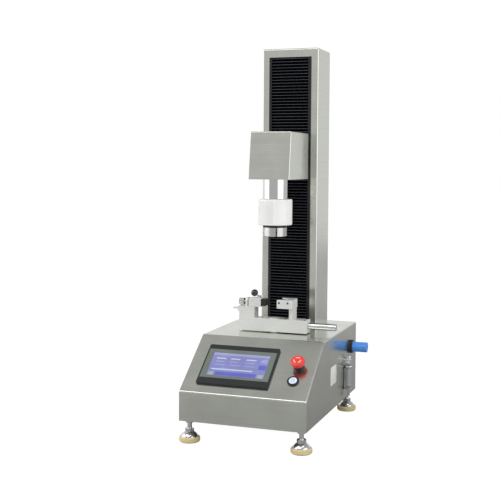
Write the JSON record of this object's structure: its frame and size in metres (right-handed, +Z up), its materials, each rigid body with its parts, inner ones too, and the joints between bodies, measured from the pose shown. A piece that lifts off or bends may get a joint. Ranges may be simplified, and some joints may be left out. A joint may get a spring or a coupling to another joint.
{
  "type": "bottle cap torque tester",
  "caption": "Bench tester whose motor-driven gripper turns a bottle's cap while a clamp on a torque sensor holds the bottle; sloping touch-screen cabinet and bellows column.",
  "frame": {"origin": "on the floor, below the middle of the outline's bounding box", "axes": "+Z up, +X to the operator's right, +Y from the operator to the back"},
  "size_m": [0.4084, 0.53, 1.074],
  "materials": {
    "brushed_steel": "satin",
    "bright_steel": "polished",
    "chrome": "polished",
    "machined_aluminium": "satin",
    "polished_motor": "polished",
    "white_enamel": "gloss",
    "jaw_steel": "polished",
    "black_steel": "satin",
    "motor_black": "satin",
    "bellows_cloth": "satin",
    "guide_black": "satin",
    "black_rubber": "matte",
    "foot_rubber": "matte",
    "screen_plastic": "satin",
    "screen_glass": "gloss",
    "black_plastic": "satin",
    "knob_black": "gloss",
    "estop_red": "gloss",
    "button_white": "gloss",
    "regulator_blue": "satin",
    "supply_case": "satin"
  },
  "bodies": {
    "base": {"cabinet_shell": "brushed_steel", "cabinet_base_plate": "brushed_steel", "cabinet_rear_panel": "brushed_steel", "power_inlet": "black_plastic", "power_supply": "supply_case", "controller": "black_plastic", "foot_lock_nuts": "chrome", "column_housing": "brushed_steel", "column_rear_cover": "brushed_steel", "column_spine": "machined_aluminium", "guide_rails": "bright_steel", "lift_motor": "motor_black", "bellows_upper": "bellows_cloth", "bellows_lower": "bellows_cloth", "bellows_guides": "guide_black", "fixture_bar": "machined_aluminium", "torque_sensor": "machined_aluminium", "screw_bracket": "machined_aluminium", "clamp_cylinder": "chrome", "hmi_housing": "screen_plastic", "hmi_glass": "screen_glass", "estop_collar": "black_plastic", "power_bezel": "black_plastic", "regulator_body": "black_plastic", "regulator_collar": "black_plastic", "filter_head": "chrome", "filter_bowl": "chrome", "air_inlet": "chrome"},
    "head": {"head_cover": "brushed_steel", "head_carriage": "machined_aluminium", "rail_blocks": "bright_steel", "ball_nut": "bright_steel", "spindle_motor": "polished_motor", "spindle_housing": "white_enamel"},
    "lift_screw": {"lift_screw": "bright_steel"},
    "gripper": {"gripper_body": "black_steel"},
    "grip_right": {"grip_jaw_right": "jaw_steel", "grip_pad_right": "black_rubber"},
    "grip_left": {"grip_jaw_left": "jaw_steel", "grip_pad_left": "black_rubber"},
    "clamp": {"clamp_arm": "machined_aluminium", "clamp_pad": "black_rubber", "clamp_rod": "bright_steel"},
    "rest_jaw": {"rest_jaw": "machined_aluminium", "rest_pad": "black_rubber"},
    "adjusting_screw": {"adjusting_screw": "bright_steel"},
    "lock_lever": {"lock_lever": "bright_steel", "lock_knob": "knob_black"},
    "estop_plunger": {"estop_plunger": "chrome"},
    "estop_head": {"estop_head": "estop_red"},
    "power_cap": {"power_cap": "button_white"},
    "regulator_knob": {"regulator_knob": "regulator_blue"},
    "foot_front_left": {"foot_front_left": "chrome", "foot_ring_front_left": "foot_rubber"},
    "foot_front_right": {"foot_front_right": "chrome", "foot_ring_front_right": "foot_rubber"},
    "foot_rear_left": {"foot_rear_left": "chrome", "foot_ring_rear_left": "foot_rubber"},
    "foot_rear_right": {"foot_rear_right": "chrome", "foot_ring_rear_right": "foot_rubber"}
  },
  "joints": [
    {"name": "head_travel", "type": "slide", "parent": "base", "child": "head", "axis": [0, 0, 1], "range_m": [-0.13, 0.12], "deforming": ["bellows_upper", "bellows_lower"]},
    {"name": "lift_screw_turn", "type": "hinge", "parent": "base", "child": "lift_screw", "pos_m": [-0.02115, 0.231, 0.2635], "axis": [0, 0, 1], "range_deg": [-4330, 4690]},
    {"name": "spindle_turn", "type": "hinge", "parent": "head", "child": "gripper", "pos_m": [-0.02115, 0.0075, 0.5599], "axis": [0, 0, 1], "continuous": true},
    {"name": "grip_right_slide", "type": "slide", "parent": "gripper", "child": "grip_right", "axis": [0.9135, 0.4067, 0], "range_m": [-0.0015, 0.006]},
    {"name": "grip_left_slide", "type": "slide", "parent": "gripper", "child": "grip_left", "axis": [-0.9135, -0.4067, 0], "range_m": [-0.0015, 0.006]},
    {"name": "clamp_travel", "type": "slide", "parent": "base", "child": "clamp", "axis": [1, 0, 0], "range_m": [0, 0.025]},
    {"name": "rest_jaw_travel", "type": "slide", "parent": "base", "child": "rest_jaw", "axis": [1, 0, 0], "range_m": [-0.0034, 0.0074]},
    {"name": "adjusting_screw_turn", "type": "hinge", "parent": "rest_jaw", "child": "adjusting_screw", "pos_m": [-0.12515, 0.0075, 0.346], "axis": [1, 0, 0], "range_deg": [-617, 1337]},
    {"name": "lock_lever_turn", "type": "hinge", "parent": "rest_jaw", "child": "lock_lever", "pos_m": [-0.06715, 0.0075, 0.3582], "axis": [0, 0, 1], "range_deg": [0, 80]},
    {"name": "estop_push", "type": "slide", "parent": "base", "child": "estop_plunger", "axis": [0, -0.5988, 0.8009], "range_m": [-0.004, 0]},
    {"name": "estop_twist", "type": "hinge", "parent": "estop_plunger", "child": "estop_head", "pos_m": [0.10685, -0.18289, 0.21788], "axis": [0, -0.5988, 0.8009], "range_deg": [-35, 0], "stiffness_Nm_per_rad": 0.05},
    {"name": "power_push", "type": "slide", "parent": "base", "child": "power_cap", "axis": [0, -0.5988, 0.8009], "range_m": [-0.0015, 0], "stiffness_N_per_m": 800},
    {"name": "regulator_turn", "type": "hinge", "parent": "base", "child": "regulator_knob", "pos_m": [0.15385, 0.195, 0.201], "axis": [1, 0, 0], "range_deg": [-720, 720]},
    {"name": "foot_front_left_level", "type": "slide", "parent": "base", "child": "foot_front_left", "axis": [0, 0, -1], "range_m": [0, 0.012]},
    {"name": "foot_front_right_level", "type": "slide", "parent": "base", "child": "foot_front_right", "axis": [0, 0, -1], "range_m": [0, 0.012]},
    {"name": "foot_rear_left_level", "type": "slide", "parent": "base", "child": "foot_rear_left", "axis": [0, 0, -1], "range_m": [0, 0.012]},
    {"name": "foot_rear_right_level", "type": "slide", "parent": "base", "child": "foot_rear_right", "axis": [0, 0, -1], "range_m": [0, 0.012]}
  ],
  "couplings": [
    {"joint": "lift_screw_turn", "follows": "head_travel", "rad_per_m": -628.32},
    {"joint": "grip_left_slide", "follows": "grip_right_slide", "ratio": 1},
    {"joint": "adjusting_screw_turn", "follows": "rest_jaw_travel", "rad_per_m": 3141.6}
  ]
}
